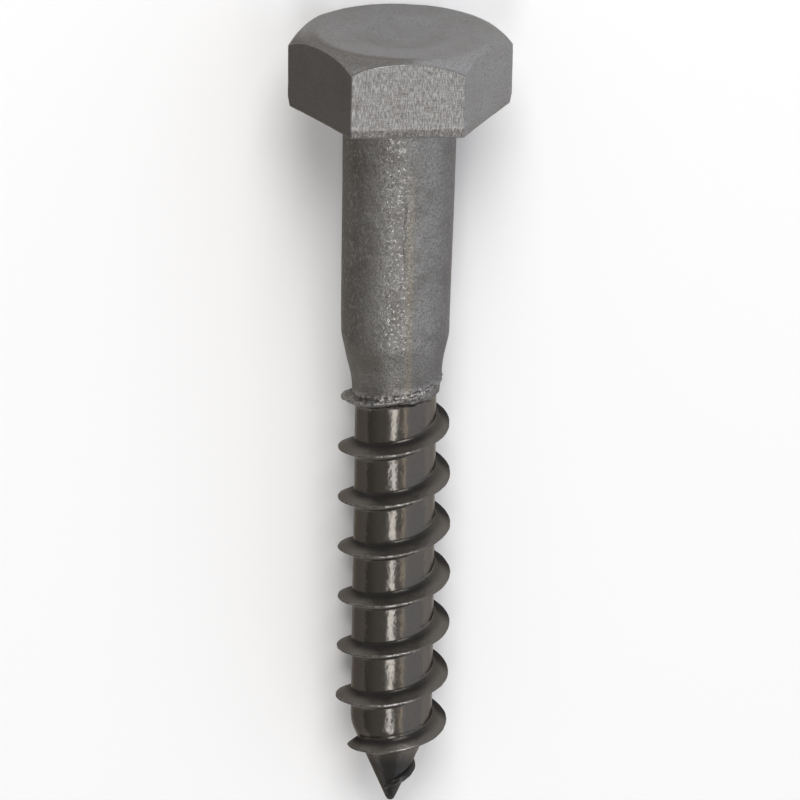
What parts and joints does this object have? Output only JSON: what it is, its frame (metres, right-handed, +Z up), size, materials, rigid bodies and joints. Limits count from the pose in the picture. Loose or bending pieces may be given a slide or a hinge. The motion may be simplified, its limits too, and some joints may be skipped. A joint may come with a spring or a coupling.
{
  "type": "lag screw",
  "caption": "Hex-head lag screw with a plain shank, a coarse wood thread and a gimlet point, lying on its side.",
  "frame": {"origin": "middle of the footprint, on the ground that the screw lies on", "axes": "+Y towards the head, +Z up; the axis climbs 3.5 degrees from the point to the head, because the screw lies on a flat of its head and on its thread"},
  "size_m": [0.0146, 0.0554, 0.013],
  "materials": {
    "steel": "bare metal, satin on the head's flats, grainy on the shank and smooth in the thread"
  },
  "bodies": {
    "root": {"lag_screw": "steel"}
  },
  "joints": []
}
